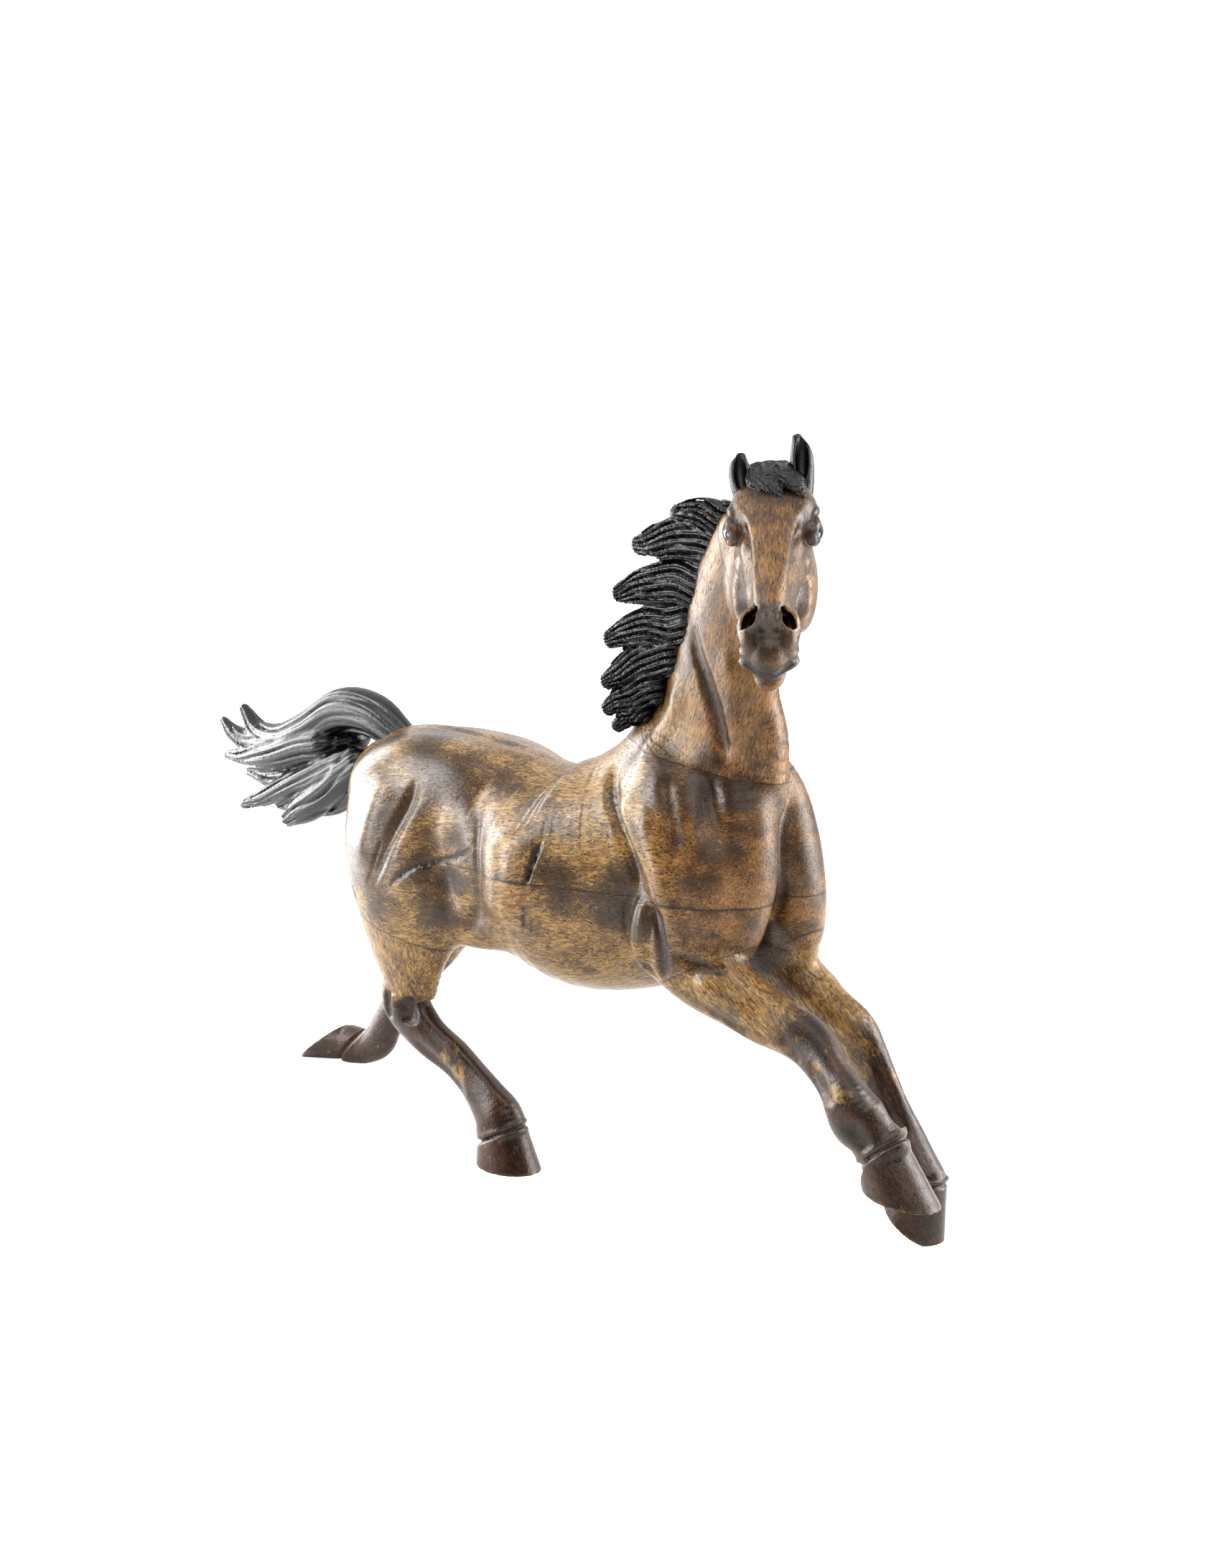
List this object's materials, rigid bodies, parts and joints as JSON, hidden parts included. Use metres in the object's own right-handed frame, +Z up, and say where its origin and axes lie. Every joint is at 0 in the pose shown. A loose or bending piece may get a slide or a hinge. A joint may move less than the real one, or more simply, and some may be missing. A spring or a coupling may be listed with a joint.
{
  "type": "horse statuette",
  "caption": "Carved wooden horse statuette at full gallop, head turned aside, mane and tail streaming, standing on two hind feet and a fore toe.",
  "frame": {"origin": "on the ground under the middle of the bounding box", "axes": "+Z up; the horse gallops towards -Y; its left side is +X"},
  "size_m": [0.1509, 0.5501, 0.4002],
  "materials": {
    "carved_wood": "stained and lacquered, ochre to umber with dark patches",
    "dark_wood": "dark stained and lacquered",
    "black_lacquer": "near-black stained wood under gloss lacquer",
    "dowel_wood": "bare light hardwood"
  },
  "bodies": {
    "root": {"head": "carved_wood", "neck": "carved_wood", "trunk_upper": "carved_wood", "trunk_lower": "carved_wood", "foreleg_right": "carved_wood", "foreleg_left": "carved_wood", "hindleg_right": "carved_wood", "hindleg_left": "carved_wood", "ear_right": "dark_wood", "ear_left": "dark_wood", "mane": "black_lacquer", "forelock": "black_lacquer", "tail": "black_lacquer", "head_dowel": "dowel_wood", "neck_dowel_front": "dowel_wood", "neck_dowel_rear": "dowel_wood", "trunk_dowel_front": "dowel_wood", "trunk_dowel_rear": "dowel_wood", "foreleg_dowel_right": "dowel_wood", "foreleg_dowel_left": "dowel_wood", "hindleg_dowel_right": "dowel_wood", "hindleg_dowel_left": "dowel_wood"}
  },
  "joints": []
}
